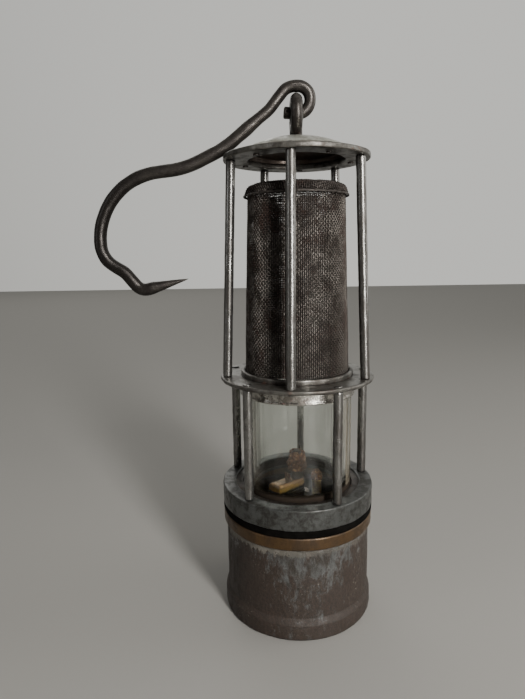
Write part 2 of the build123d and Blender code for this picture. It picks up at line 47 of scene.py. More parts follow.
def add(tree, kind, settings=None, **inputs):
    """A shader node. Inputs are named with _ for a space, or iN for the input at place N."""
    n = tree.nodes.new("ShaderNode" + kind)
    for key, value in (settings or {}).items():
        setattr(n, key, value)
    for key, value in inputs.items():
        by_place = key[0] == "i" and key[1:].isdigit()
        socket = n.inputs[int(key[1:]) if by_place else key.replace("_", " ")]
        if isinstance(value, bpy.types.NodeSocket):
            tree.links.new(value, socket)
        else:
            socket.default_value = value
    return n


def blend(tree, factor, a, b, how="MIX"):
    """Two colours mixed. 0, 6 and 7 are the Mix node's factor and colour inputs, 2 its colour output."""
    return add(tree, "Mix", {"data_type": "RGBA", "blend_type": how}, i0=factor, i6=a, i7=b).outputs[2]


def ramp(tree, value, low, high, to_low=0.0, to_high=1.0):
    return add(tree, "MapRange", {"interpolation_type": "SMOOTHSTEP"}, Value=value, From_Min=low,
               From_Max=high, To_Min=to_low, To_Max=to_high).outputs[0]


def calc(tree, how, a, b=0.0):
    return add(tree, "Math", {"operation": how, "use_clamp": how == "ADD"}, i0=a, i1=b).outputs[0]


def cloud(tree, where, scale, detail=6.0, rough=0.6, twist=0.0):
    return add(tree, "TexNoise", Vector=where, Scale=scale, Detail=detail, Roughness=rough,
               Distortion=twist).outputs[0]


def place(tree, stretch=(1, 1, 1), shift=(0, 0, 0)):
    """The piece's own coordinates in metres, stretched and shifted."""
    own = add(tree, "TexCoord").outputs["Object"]
    return add(tree, "Mapping", Vector=own, Scale=stretch, Location=shift).outputs[0]


def rgb(r, g, b):
    return (r, g, b, 1.0)


def metal(name, base, second, rust, metallic=0.85, rough=0.38, blotch=110.0, blotch_at=(0.42, 0.62),
          rust_scale=220.0, rust_at=(0.58, 0.72), streak=1.0, bump=0.35, seed=0.0, zone=None, scratch=0.25,
          over=None):
    """Worn metal: two tones in blotches, rust in patches and specks, grain, fine scratches, and creases
    darkened by ambient occlusion, partly as crevice deposits and partly as painted shade.
    """
    mat = bpy.data.materials.new(name)
    mat.use_nodes = True
    tree = mat.node_tree
    tree.nodes.clear()
    shift = (seed, seed * 0.7, seed * 1.3)
    where = place(tree, (1, 1, streak), shift)
    even = place(tree, (1, 1, 1), shift)
    patches = ramp(tree, cloud(tree, where, blotch, 8.0, 0.66, 0.3), *blotch_at)
    spots = cloud(tree, place(tree, (1, 1, max(streak, 0.5)), shift), rust_scale, 9.0, 0.76, 0.25)
    specks = ramp(tree, cloud(tree, even, rust_scale * 6.0, 3.0, 0.6), 0.66, 0.74)
    # Ambient occlusion finds creases and recesses. It adds a little rust there and darkens them, partly as
    # crevice deposits and partly as painted shade.
    corner = add(tree, "AmbientOcclusion", {"samples": 4}, Distance=0.004).outputs["AO"]
    crevice_grime_and_shade = ramp(tree, corner, 0.75, 0.25)
    level = calc(tree, "ADD", spots, calc(tree, "MULTIPLY", crevice_grime_and_shade, 0.12))
    if zone is not None:
        level = calc(tree, "ADD", level, zone(tree))
    rusty = ramp(tree, level, *rust_at)
    rusty = calc(tree, "MAXIMUM", rusty, calc(tree, "MULTIPLY", specks, 0.55))
    grain = cloud(tree, even, 2600.0, 4.0, 0.7)
    lines = cloud(tree, place(tree, (1, 1, 14), shift), 900.0, 2.0, 0.5)
    scored = ramp(tree, lines, 0.64, 0.7, 0.0, scratch)
    plain = blend(tree, patches, rgb(*base), rgb(*second))
    plain = blend(tree, scored, plain, rgb(*[min(1.0, c * 1.9) for c in base]))
    browns = blend(tree, ramp(tree, cloud(tree, even, 900.0, 4.0, 0.7), 0.4, 0.65), rgb(*rust),
                   rgb(*[c * 0.5 for c in rust]))
    colour = blend(tree, rusty, plain, browns)
    # Painted shade, with some crevice deposits: creases darken towards near black.
    colour = blend(tree, calc(tree, "MULTIPLY", crevice_grime_and_shade, 0.6), colour, rgb(*SOOT_AND_SHADE))
    colour = blend(tree, 0.7, colour, ramp_grey(tree, grain), "OVERLAY")
    fine = ramp_grey(tree, cloud(tree, place(tree, (1, 1, 0.25), shift), 1300.0, 5.0, 0.75))
    colour = blend(tree, 0.5, colour, fine, "OVERLAY")
    if over is not None:
        colour = over(tree, colour)
    relief = calc(tree, "ADD", calc(tree, "MULTIPLY", grain, 0.25), calc(tree, "MULTIPLY", rusty, 0.35))
    relief = calc(tree, "ADD", relief, calc(tree, "MULTIPLY", patches, 0.12))
    relief = calc(tree, "SUBTRACT", relief, calc(tree, "MULTIPLY", scored, 0.2))
    normal = add(tree, "Bump", Height=relief, Strength=bump, Distance=0.00025).outputs[0]
    shade = add(tree, "BsdfPrincipled", Base_Color=colour, Normal=normal,
                Metallic=ramp(tree, rusty, 0.0, 1.0, metallic, metallic * 0.25),
                Roughness=calc(tree, "ADD", ramp(tree, patches, 0.0, 1.0, rough, rough + 0.14),
                               calc(tree, "MULTIPLY", rusty, 0.25)))
    add(tree, "OutputMaterial", Surface=shade.outputs[0])
    finishes[name] = mat


def ramp_grey(tree, value):
    return add(tree, "CombineColor", i0=value, i1=value, i2=value).outputs[0]


def cloth(name, base, second, scale=1800.0, rough=0.85, bump=0.5, sheen=0.2, gloss=0.3):
    """Soft or fibrous stuff such as cotton, gasket board, rubber or wax, with fibre and stain."""
    mat = bpy.data.materials.new(name)
    mat.use_nodes = True
    tree = mat.node_tree
    tree.nodes.clear()
    where = place(tree)
    fibre = cloud(tree, place(tree, (1, 1, 4)), scale, 5.0, 0.7, 0.5)
    stain = ramp(tree, cloud(tree, where, 170.0, 6.0, 0.65), 0.4, 0.62)
    colour = blend(tree, stain, rgb(*base), rgb(*second))
    colour = blend(tree, 0.5, colour, ramp_grey(tree, fibre), "OVERLAY")
    normal = add(tree, "Bump", Height=fibre, Strength=bump, Distance=0.0003).outputs[0]
    shade = add(tree, "BsdfPrincipled", Base_Color=colour, Normal=normal, Metallic=0.0,
                Roughness=ramp(tree, stain, 0.0, 1.0, rough, max(0.3, rough - 0.12)), Sheen_Weight=sheen,
                Specular_IOR_Level=gloss)
    add(tree, "OutputMaterial", Surface=shade.outputs[0])
    finishes[name] = mat


# ---------------------------------------------------------------- materials

RUST = (0.085, 0.038, 0.022)
# Near black, used for crevice deposits and for painted shade.
SOOT_AND_SHADE = (0.012, 0.010, 0.009)


def own_xyz(tree):
    return add(tree, "SeparateXYZ", Vector=add(tree, "TexCoord").outputs["Object"]).outputs


def vessel_zone(tree):
    """The shell's sides, back and foot are rustier than its upper front."""
    x, y, z = own_xyz(tree)
    side = ramp(tree, calc(tree, "ABSOLUTE", calc(tree, "SUBTRACT", x, 0.003)), 0.006, 0.034, 0.0, 0.16)
    foot = ramp(tree, z, 0.046, 0.022, -0.03, 0.12)
    rear = ramp(tree, y, -0.02, 0.02, 0.0, 0.08)
    return calc(tree, "ADD", calc(tree, "ADD", side, foot), rear)


def solder_film(tree, colour):
    """Pale solder run down from under the collar, with a ragged lower edge, and pale flecks below it."""
    x, _, z = own_xyz(tree)
    ragged = cloud(tree, place(tree, (1, 1, 0.5), (3, 1, 2)), 260.0, 8.0, 0.75, 0.4)
    reach = calc(tree, "ADD", z, calc(tree, "MULTIPLY", calc(tree, "SUBTRACT", ragged, 0.5), 0.016))
    left = ramp(tree, x, 0.012, -0.012, 0.35, 1.0)
    film = calc(tree, "MULTIPLY", ramp(tree, reach, 0.0468, 0.0480), left)
    fleck = ramp(tree, cloud(tree, place(tree, (1, 1, 0.8), (5, 5, 5)), 1100.0, 4.0, 0.7), 0.615, 0.66)
    where = ramp(tree, cloud(tree, place(tree, (1, 1, 0.5), (7, 2, 9)), 60.0, 3.0, 0.5), 0.46, 0.6)
    colour = blend(tree, calc(tree, "MULTIPLY", calc(tree, "MULTIPLY", fleck, where), 0.8), colour,
                   rgb(0.17, 0.15, 0.125))
    return blend(tree, calc(tree, "MULTIPLY", film, 0.8), colour, rgb(0.135, 0.125, 0.105))


def brown_top_black_foot(tree, colour):
    """The housing's upper side is a darker brown, its walls keep their bright brass halfway down, and its
    foot turns near black.
    """
    z = own_xyz(tree)[2]
    uneven = calc(tree, "MULTIPLY", calc(tree, "SUBTRACT", cloud(tree, place(tree), 500.0), 0.5), 0.0016)
    colour = blend(tree, ramp(tree, calc(tree, "ADD", z, uneven), 0.0715, 0.0736, 0.0, 0.85), colour,
                   rgb(0.125, 0.062, 0.036))
    return blend(tree, ramp(tree, calc(tree, "ADD", z, uneven), 0.0708, 0.0696, 0.0, 0.92), colour,
                 rgb(0.012, 0.008, 0.006))


def inside_soot(tree, colour):
    """Soot on the hollow side of the dome, told by the distance from the middle of its sphere."""
    where = place(tree, (1, 1, 1), (0, 0, -(DOME_TOP - DOME_SPHERE_R) * MM))
    reach = add(tree, "VectorMath", {"operation": "LENGTH"}, i0=where).outputs["Value"]
    return blend(tree, ramp(tree, reach, 0.0598, 0.0590, 0.0, 0.9), colour, rgb(0.046, 0.027, 0.020))


def flank_shade_and_burns(tree, colour):
    """The gauze is painted darker towards +X as painted shade on that side, with small burnt spots."""
    x = own_xyz(tree)[0]
    flank = ramp(tree, x, 0.004, 0.024, 0.0, 0.55)
    burnt = cloud(tree, place(tree, (1, 1, 0.6), (2, 6, 1)), 240.0, 4.0, 0.6)
    spots = ramp(tree, burnt, 0.58, 0.64, 0.0, 0.6)
    return blend(tree, calc(tree, "MAXIMUM", flank, spots), colour, rgb(0.026, 0.020, 0.016))


def painted_bend_shade(tree, colour):
    """The hook's far bend is painted darker than its arm: painted shade."""
    x = own_xyz(tree)[0]
    return blend(tree, ramp(tree, x, -0.066, -0.094, 0.0, 0.75), colour, rgb(*SOOT_AND_SHADE))


metal("vessel_steel", (0.1, 0.103, 0.101), (0.034, 0.029, 0.024), (0.028, 0.0185, 0.013), metallic=0.5,
      rough=0.32, blotch=170, streak=0.42, rust_scale=230, rust_at=(0.48, 0.62), bump=1.0, seed=0.3,
      zone=vessel_zone, scratch=0.5, over=solder_film)
metal("aged_brass", (0.066, 0.038, 0.016), (0.04, 0.024, 0.012), (0.025, 0.014, 0.009), metallic=0.55,
      rough=0.36, blotch=120, rust_at=(0.62, 0.78), seed=1.7)
metal("post_brass", (0.42, 0.28, 0.1), (0.19, 0.115, 0.05), (0.1, 0.048, 0.03), metallic=0.55, rough=0.3,
      blotch=200, rust_at=(0.55, 0.7), bump=0.3, seed=4.7)
metal("sooty_brass", (0.042, 0.03, 0.02), (0.016, 0.012, 0.009), (0.035, 0.018, 0.011), metallic=0.4,
      rough=0.5, blotch=160, seed=2.9)
metal("burner_brass", (0.62, 0.38, 0.11), (0.27, 0.15, 0.055), (0.12, 0.055, 0.035), metallic=0.55,
      rough=0.24, blotch=150, blotch_at=(0.52, 0.75), rust_at=(0.64, 0.8), bump=0.25, seed=4.1,
      over=brown_top_black_foot)
# Near black with almost no gloss: a rubber seal, darkened further as painted shade standing for the shadow
# gap between the brass collar and the base ring.
cloth("black_seal", (0.0022, 0.002, 0.0018), (0.004, 0.0035, 0.003), 1500, 0.9, 0.35, 0.0, 0.03)
metal("grey_ring", (0.056, 0.058, 0.055), (0.02, 0.019, 0.016), (0.042, 0.022, 0.016), metallic=0.5,
      rough=0.34, blotch=230, blotch_at=(0.4, 0.62), rust_scale=260, rust_at=(0.62, 0.78), bump=0.6,
      seed=5.2, scratch=0.45)
metal("dark_steel", (0.048, 0.042, 0.037), (0.02, 0.017, 0.014), RUST, metallic=0.7, rough=0.36,
      blotch=160, rust_at=(0.56, 0.7), seed=6.6)
metal("pillar_steel", (0.175, 0.171, 0.162), (0.085, 0.079, 0.072), RUST, metallic=0.9, rough=0.24,
      blotch=170, streak=0.3, rust_scale=300, rust_at=(0.64, 0.76), bump=0.5, seed=7.4)
metal("worn_steel", (0.125, 0.12, 0.108), (0.054, 0.048, 0.042), RUST, metallic=0.75, rough=0.3,
      blotch=140, rust_scale=210, rust_at=(0.57, 0.7), bump=0.55, seed=8.8, scratch=0.5)
metal("dome_steel", (0.4, 0.405, 0.36), (0.22, 0.21, 0.18), RUST, metallic=0.7, rough=0.3, blotch=110,
      rust_scale=210, rust_at=(0.58, 0.72), bump=0.4, seed=8.1, over=inside_soot)
metal("bright_collar", (0.42, 0.405, 0.37), (0.17, 0.155, 0.135), (0.1, 0.04, 0.025), metallic=0.95,
      rough=0.2, blotch=260, rust_scale=300, rust_at=(0.57, 0.66), bump=0.7, seed=8.3)
metal("spring_steel", (0.22, 0.21, 0.2), (0.11, 0.1, 0.09), RUST, metallic=0.9, rough=0.3, blotch=200,
      rust_at=(0.7, 0.82), seed=9.3)
metal("hook_iron", (0.05, 0.045, 0.04), (0.024, 0.02, 0.018), (0.08, 0.034, 0.02), metallic=0.7,
      rough=0.3, blotch=150, rust_scale=170, rust_at=(0.62, 0.78), bump=0.6, seed=10.5, over=painted_bend_shade)
metal("rusted_iron", (0.34, 0.2, 0.09), (0.06, 0.028, 0.014), (0.14, 0.048, 0.018), metallic=0.25,
      rough=0.5, blotch=620, blotch_at=(0.36, 0.5), rust_scale=520, rust_at=(0.46, 0.6), bump=1.0,
      seed=11.2)
# Pale pinkish white, mostly diffuse: the nickel screws' colour lifted as painted reflection of the bright
# window, in place of a mirror finish.
metal("nickel_screw", (0.86, 0.74, 0.7), (0.6, 0.5, 0.46), (0.25, 0.13, 0.08), metallic=0.35, rough=0.25,
      blotch=300, rust_at=(0.72, 0.85), bump=0.15, seed=12.9)
metal("gauze_wire", (0.034, 0.028, 0.024), (0.018, 0.014, 0.012), (0.03, 0.017, 0.012), metallic=0.7,
      rough=0.4, blotch=95, rust_scale=85, rust_at=(0.53, 0.6), bump=0.3, seed=13.4)
# The uprights' wire is a much lighter copy of the hoops' wire: painted highlight, so the crests where they
# cross over read as bright checkered dots.
metal("gauze_wire_warp", (0.215, 0.195, 0.172), (0.07, 0.058, 0.049), (0.06, 0.032, 0.022), metallic=0.75,
      rough=0.4, blotch=95, rust_scale=85, rust_at=(0.53, 0.6), bump=0.3, seed=13.4, over=flank_shade_and_burns)
# A slightly lighter copy of the inner hoops' wire, painted highlight in the same way.
metal("gauze_dark_warp", (0.045, 0.038, 0.033), (0.02, 0.016, 0.013), (0.03, 0.016, 0.011), metallic=0.5,
      rough=0.5, blotch=95, rust_scale=85, rust_at=(0.53, 0.62), bump=0.3, seed=14.4)
metal("gauze_dark", (0.04, 0.034, 0.029), (0.02, 0.016, 0.013), (0.03, 0.016, 0.011), metallic=0.5,
      rough=0.5, blotch=95, rust_scale=85, rust_at=(0.53, 0.62), bump=0.3, seed=14.4)
cloth("gasket_fibre", (0.045, 0.036, 0.027), (0.022, 0.018, 0.014))
cloth("cotton", (0.52, 0.47, 0.38), (0.3, 0.24, 0.17), 2600, 0.95, 0.8, 0.5)
cloth("charred", (0.045, 0.03, 0.02), (0.015, 0.012, 0.01), 2600, 0.95, 0.8, 0.2)
cloth("waxed_strip", (0.2, 0.1, 0.05), (0.09, 0.045, 0.03), 900, 0.45, 0.3, 0.1)


def glass_finish():
    """Old clear glass: a faint green body, dried films, dull beige streaks on its flanks in x that are partly
    residue and partly painted light bands where the thick wall refracts at the edges, and a sooty lower seat.
    """
    mat = bpy.data.materials.new("clear_glass")
    mat.use_nodes = True
    tree = mat.node_tree
    tree.nodes.clear()
    where = place(tree)
    film = ramp(tree, cloud(tree, place(tree, (1, 1, 0.35)), 150.0, 7.0, 0.7, 0.4), 0.56, 0.74)
    x, _, z = own_xyz(tree)
    ends = calc(tree, "MAXIMUM", ramp(tree, z, 0.077, 0.0705), ramp(tree, z, 0.1225, 0.131))
    # Flanks in x: dull streaks, partly residue and partly painted light bands of the thick wall's refraction
    # at the edges.
    flank = ramp(tree, calc(tree, "ABSOLUTE", x), 0.019, 0.027)
    run = ramp(tree, cloud(tree, place(tree, (1, 1, 0.05)), 420.0, 4.0, 0.7), 0.42, 0.62)
    dirt_and_edge_bands = calc(tree, "ADD", calc(tree, "MULTIPLY", film, 0.02), calc(tree, "MULTIPLY", ends, 0.06))
    dirt_and_edge_bands = calc(tree, "ADD", dirt_and_edge_bands, calc(tree, "MULTIPLY", calc(tree, "MULTIPLY", flank, run), 0.4))
    dust = ramp(tree, cloud(tree, where, 2300.0, 2.0, 0.5), 0.68, 0.74, 0.0, 0.5)
    clear = add(tree, "BsdfPrincipled", Base_Color=rgb(0.94, 0.965, 0.93), IOR=1.5, Transmission_Weight=1.0,
                Roughness=ramp(tree, film, 0.0, 1.0, 0.0, 0.03)).outputs[0]
    dried = blend(tree, cloud(tree, where, 500.0), rgb(0.26, 0.23, 0.16), rgb(0.12, 0.095, 0.065))
    dull = add(tree, "BsdfPrincipled", Roughness=0.8, Metallic=0.0, Base_Color=dried).outputs[0]
    burnt = blend(tree, cloud(tree, where, 700.0), rgb(0.012, 0.010, 0.008), rgb(0.030, 0.022, 0.016))
    soot = add(tree, "BsdfPrincipled", Roughness=0.9, Specular_IOR_Level=0.05, Base_Color=burnt).outputs[0]
    seat = ramp(tree, z, 0.0748, 0.0736)
    dirt_and_edge_bands = calc(tree, "ADD", dirt_and_edge_bands, calc(tree, "MULTIPLY", dust, dirt_and_edge_bands))
    mixed = add(tree, "MixShader", i0=dirt_and_edge_bands, i1=clear, i2=dull)
    seated = add(tree, "MixShader", i0=seat, i1=mixed.outputs[0], i2=soot)
    add(tree, "OutputMaterial", Surface=seated.outputs[0])
    finishes["clear_glass"] = mat


glass_finish()

# ---------------------------------------------------------------- mesh helpers


def piece(name, verts, faces, finish, body, stands_for=()):
    """A new mesh, given in millimetres, that rides on a body and may stand for CAD nodes."""
    mesh = bpy.data.meshes.new(name)
    mesh.from_pydata([tuple(c * MM for c in v) for v in verts], [], faces)
    mesh.update()
    mesh.polygons.foreach_set("use_smooth", [True] * len(mesh.polygons))
    obj = bpy.data.objects.new(name, mesh)
    bpy.context.scene.collection.objects.link(obj)
    mesh.materials.append(finishes[finish])
    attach(obj, body)
    if stands_for:
        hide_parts(*stands_for)


def rounded(outline, radius):
    """A closed (r, z) outline with its corners rounded and its long sides divided."""
    out = []
    count = len(outline)
    for i in range(count):
        before, here, after = Vector(outline[i - 1]), Vector(outline[i]), Vector(outline[(i + 1) % count])
        to_before, to_after = before - here, after - here
        cut = min(radius, to_before.length * 0.45, to_after.length * 0.45)
        a, b = here + to_before.normalized() * cut, here + to_after.normalized() * cut
        for t in (0.0, 0.33, 0.67, 1.0):
            out.append((1 - t) ** 2 * a + 2 * t * (1 - t) * here + t * t * b)
    fine = []
    for i, p in enumerate(out):
        q = out[(i + 1) % len(out)]
        steps = max(1, math.ceil((q - p).length / 1.6))
        fine += [p.lerp(q, s / steps) for s in range(steps)]
    return fine


def turned(name, outline, finish, body, corner=0.3, dent=0.12, grain=0.03, size=9.0, around=224,
           stands_for=(), seed=0.0, extra=None, centre=(0.0, 0.0)):
    """A lathe-made part with softened rims, shallow dents and a slightly uneven surface.

    extra(turn, point) adds a push of its own along the radius.
    """
    line = rounded(outline, corner)
    verts = []
    for k in range(around):
        turn = 2 * math.pi * k / around
        c, s = math.cos(turn), math.sin(turn)
        for p in line:
            at = Vector((p.x * c, p.x * s, p.y))
            low = noise.noise(at / size + Vector((seed, seed, 0))) - 0.4
            high = noise.noise(at / 1.7 + Vector((seed, 0, seed)))
            push = dent * min(0.0, low) * 1.4 + grain * min(0.0, high)
            if extra:
                push += extra(turn, p)
            verts.append((centre[0] + at.x + push * c, centre[1] + at.y + push * s, at.z))
    n = len(line)
    faces = []
    for k in range(around):
        here, there = k * n, (k + 1) % around * n
        faces += [(here + i, here + (i + 1) % n, there + (i + 1) % n, there + i) for i in range(n)]
    piece(name, verts, faces, finish, body, stands_for)


def reworked(node, name, finish, body, voxel, dent=0.08, size=5.0, grain=0.02, lumps=0.0, lump_size=1.6,
             smooth=3, seed=0.0, grow=0.0):
    """A CAD node's own shape, rebuilt as an even mesh with worn edges and hammer or corrosion marks."""
    mesh = nodes[node].data.copy()
    mesh.materials.clear()
    obj = bpy.data.objects.new(name, mesh)
    bpy.context.scene.collection.objects.link(obj)
    again = obj.modifiers.new("again", "REMESH")
    again.mode = "VOXEL"
    again.voxel_size = voxel * MM
    again.adaptivity = 0.0
    ease = obj.modifiers.new("ease", "SMOOTH")
    ease.iterations = smooth
    ease.factor = 0.5
    graph = bpy.context.evaluated_depsgraph_get()
    made = bpy.data.meshes.new_from_object(obj.evaluated_get(graph))
    obj.modifiers.clear()
    obj.data = made
    obj.data.name = name
    bpy.data.meshes.remove(mesh)
    normals = [v.normal.copy() for v in made.vertices]
    for v, out in zip(made.vertices, normals):
        at = v.co / MM
        push = dent * min(0.0, noise.noise(at / size + Vector((seed, 0, 0))) - 0.25)
        push += grain * min(0.0, noise.noise(at / 0.9 + Vector((0, seed, 0))))
        if lumps:
            push += lumps * noise.fractal(at / lump_size + Vector((seed, seed, 0)), 1.0, 2.0, 4)
        v.co = v.co + out * ((push + grow) * MM)
    made.polygons.foreach_set("use_smooth", [True] * len(made.polygons))
    made.update()
    made.materials.append(finishes[finish])
    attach(obj, body)
    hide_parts(node)


def threads(lines, radius, sides=3):
    """Tubes with few sides along lines, as (verts, faces).

    Each line is (points, outward directions, whether it closes into a ring).
    """
    verts, faces = [], []
    for points, across, closed in lines:
        points = np.asarray(points)
        step = np.roll(points, -1, 0) - np.roll(points, 1, 0)
        if not closed:
            step[0], step[-1] = points[1] - points[0], points[-1] - points[-2]
        step /= np.linalg.norm(step, axis=1)[:, None] + 1e-9
        out = np.asarray(across)
        out = out - (out * step).sum(1)[:, None] * step
        out /= np.linalg.norm(out, axis=1)[:, None] + 1e-9
        side = np.cross(step, out)
        start = len(verts)
        angles = [2 * math.pi * j / sides for j in range(sides)]
        ring = [points + radius * (math.cos(a) * out + math.sin(a) * side) for a in angles]
        stacked = np.stack(ring, 1).reshape(-1, 3)
        verts.extend(map(tuple, stacked))
        count = len(points)
        for i in range(count if closed else count - 1):
            a, b = start + i * sides, start + ((i + 1) % count) * sides
            for j in range(sides):
                k = (j + 1) % sides
                faces.append((a + j, b + j, b + k, a + k))
    return verts, faces


# ---------------------------------------------------------------- woven gauze

WIRE_R = 0.27
PITCH = 1.12  # between wires
CRIMP = 0.95  # how far a wire bends out and in at each crossing, in wire radii
GAUZE_LOW = 134.9
PLATE_TOP = 133.8
TAPER = 0.0297  # radius lost for each millimetre of height
SINK = 0.5  # keeps the crests of the wires at the chimney's outer radius
CHIMNEY_DENT = 0.34
WANDER = 0.10  # how far a crossing strays from the even grid


def over_under(step):
    """A wire's distance from the mean surface at its crossing number step."""
    return WIRE_R * CRIMP * (1 if step % 2 else -1)


def chimney_gauze(name, node, foot_r, top_z, seed, finish):
    """Plain weave round a tapering tube: upright wires and hoops, each passing over and under."""
    upright = int(2 * math.pi * foot_r / PITCH) // 2 * 2
    hoops = int((top_z - GAUZE_LOW) / PITCH)

    def at(i, j, over):
        turn = 2 * math.pi * i / upright
        z = GAUZE_LOW + (top_z - GAUZE_LOW) * j / (hoops - 1)
        r = foot_r - TAPER * (z - PLATE_TOP) - SINK
        spot = Vector((math.cos(turn) * 2.4, math.sin(turn) * 2.4, z / 14.0 + seed))
        r += CHIMNEY_DENT * min(0.0, noise.noise(spot) - 0.15)
        turn += WANDER * PITCH / r * noise.noise(spot * 3.0)
        z += WANDER * noise.noise(spot * 4.0 + Vector((5, 0, 0)))
        r += over_under(i + j + over)
        return (r * math.cos(turn), r * math.sin(turn), z), (math.cos(turn), math.sin(turn), 0.0)

    for kind, lines in (
        ("uprights", [[at(i, j, 0) for j in range(hoops)] for i in range(upright)]),
        ("hoops", [[at(i, j, 1) for i in range(upright)] for j in range(hoops)]),
    ):
        closed = kind == "hoops"
        wires = [([p for p, _ in line], [o for _, o in line], closed) for line in lines]
        verts, faces = threads(wires, WIRE_R)
        # The uprights take the lighter copy of the finish, as painted highlight.
        piece(f"{name}_{kind}", verts, faces, finish if closed else finish + "_warp", "frame",
              stands_for=(node,) if closed else ())


chimney_gauze("outer_weave", "outer_gauze", 28.45, 229.9, 0.0, "gauze_wire")
chimney_gauze("inner_weave", "inner_gauze", 24.85, 225.8, 3.0, "gauze_dark")


CAP_LINE = ((0.0, 233.2), (22.6, 233.2), (24.1, 232.9), (25.2, 232.2), (25.8, 231.2), (26.2, 230.0),
            (26.55, 229.0), (26.85, 228.3))  # (r, z) from the crown's middle to the skirt's edge


def along_cap(reach):
    """The cap's r and z at a distance along CAP_LINE, then the outward direction's r and z."""
    for (r0, z0), (r1, z1) in zip(CAP_LINE, CAP_LINE[1:]):
        long = math.hypot(r1 - r0, z1 - z0)
        if reach <= long or (r1, z1) == CAP_LINE[-1]:
            t = reach / long
            return r0 + (r1 - r0) * t, z0 + (z1 - z0) * t, (z0 - z1) / long, (r1 - r0) / long
        reach -= long


def cap_weave(name, node):
    """A square of the same weave pressed over a former: flat crown, rounded shoulder, flared skirt."""
    whole = sum(math.dist(a, b) for a, b in zip(CAP_LINE, CAP_LINE[1:]))
    count = int(whole / PITCH)

    def at(u, v, lift):
        rho = math.hypot(u, v) + 1e-6
        c, s = u / rho, v / rho
        r, z, out_r, out_z = along_cap(rho)
        lift += 0.45 * min(0.0, noise.noise(Vector((u / 5, v / 5, 4.0))))
        r += lift * out_r
        return (r * c, r * s, z + lift * out_z), (out_r * c, out_r * s, out_z)

    for swap in (0, 1):
        lines = []
        for i in range(-count, count + 1):
            points, outs = [], []
            for j in range(-count, count + 1):
                ragged = 0.5 * noise.noise(Vector((i / 3, j / 3, 9.0)))
                if math.hypot(i, j) * PITCH > whole + ragged:
                    continue
                u, v = (i * PITCH, j * PITCH) if swap else (j * PITCH, i * PITCH)
                p, o = at(u, v, over_under(i + j + swap))
                points.append(p)
                outs.append(o)
            if len(points) > 2:
                lines.append((points, outs, False))
        verts, faces = threads(lines, WIRE_R)
        # The wires with swap 1 take the lighter copy of the wire, as painted highlight.
        piece(f"{name}_{swap}", verts, faces, ("gauze_wire", "gauze_wire_warp")[swap], "frame",
              stands_for=(node,) if swap else ())


cap_weave("cap_weave", "gauze_cap")
turned("cap_hem", [(27.0, 227.5), (27.6, 227.4), (27.75, 228.0), (27.4, 228.6), (27.0, 228.5)], "gauze_dark",
       "frame", corner=0.3, dent=0.5, grain=0.4, size=1.8, around=420)

# ---------------------------------------------------------------- turned and sheet parts


KNOCKS = ((-1.9, 14.0, 0.10, 0.35), (-0.9, 24.0, 0.14, 0.3), (2.2, 30.0, 0.2, 0.4))
KNOCK_TALL = 60.0  # millimetres of height that count as one radian of width


def shell_dents(turn, p):
    """The shallow knocks low on the shell. KNOCKS gives the angle, height, width and depth of each."""
    total = 0.0
    for at, z, width, deep in KNOCKS:
        away = math.hypot((turn - at + math.pi) % (2 * math.pi) - math.pi, (p.y - z) / KNOCK_TALL)
        total -= deep * math.exp(-((away / width) ** 2))
    return total


turned("shell", [(39.25, 0.0), (41.3, 0.0), (41.9, 0.6), (41.9, 8.5), (40.45, 12.0), (40.45, 50.45),
                 (39.25, 50.45)], "vessel_steel", "vessel", corner=0.5, dent=0.16, grain=0.05, size=11.0,
       stands_for=("vessel_shell",), extra=shell_dents)
turned("solder_line", [(40.2, 49.6), (40.75, 49.9), (41.1, 50.5), (40.2, 50.6)], "vessel_steel", "vessel",
       corner=0.25, dent=0.9, grain=0.4, size=3.0, around=360)

COLLAR_R = 41.9
LOCK_BOLT_Z = 54.1
NOTCH_R = 3.4
NOTCH_FLOOR_R = 40.4
OUTER_FACE_R = 40.8


def lock_notch(turn, p):
    """The recess at the back of the collar's rim for the lock bolt. It pushes in only the outer face."""
    away = math.hypot((turn - math.pi / 2) * COLLAR_R, p.y - LOCK_BOLT_Z)
    return NOTCH_FLOOR_R - p.x if p.x > OUTER_FACE_R and away < NOTCH_R else 0.0


turned("collar", [(40.0, 50.5), (41.0, 50.5), (COLLAR_R, 51.4), (COLLAR_R, 57.1), (41.3, 57.7), (38.35, 57.7),
                  (38.35, 67.5), (37.85, 68.0), (36.2, 68.0), (36.2, 55.5), (40.0, 55.5)],
       "aged_brass", "vessel", corner=0.35, stands_for=("screw_collar",), seed=2.0, extra=lock_notch)
turned("seal", [(38.7, 57.72), (42.0, 57.75), (42.05, 61.75), (38.7, 61.8)], "black_seal", "seal", corner=0.6,
       dent=0.12, size=6.0, stands_for=("seal_ring",))
turned("foot_of_frame", [(38.5, 61.8), (42.2, 61.8), (42.2, 72.3), (41.8, 72.8), (35.3, 72.8), (34.8, 72.3),
                         (34.8, 69.3), (38.5, 69.3)], "grey_ring", "frame", corner=0.45, dent=0.2, grain=0.05,
       size=8.0, stands_for=("base_ring",), seed=3.0)
turned("collar_of_glass", [(30.3, 123.85), (31.65, 123.85), (31.7, 124.85), (31.3, 125.25), (31.3, 131.7),
                           (30.3, 131.7)], "bright_collar", "frame", corner=0.25,
       dent=0.12, size=5.0, stands_for=("glass_collar",), seed=4.0)
turned("gauze_foot", [(28.5, PLATE_TOP), (30.7, PLATE_TOP), (30.75, 135.9), (30.4, 136.55), (29.4, 136.6),
                      (28.5, 136.2)], "worn_steel", "frame", corner=0.25, dent=0.25, size=4.0,
       stands_for=("gauze_foot_ring",), seed=5.0)
turned("plate_of_frame", [(23.0, 131.7), (41.8, 131.7), (41.8, PLATE_TOP), (23.0, PLATE_TOP)],
       "worn_steel", "frame", corner=0.8, dent=0.3, grain=0.06, size=7.0,
       stands_for=("middle_plate",), seed=6.0)
DISC_TOP = 247.9
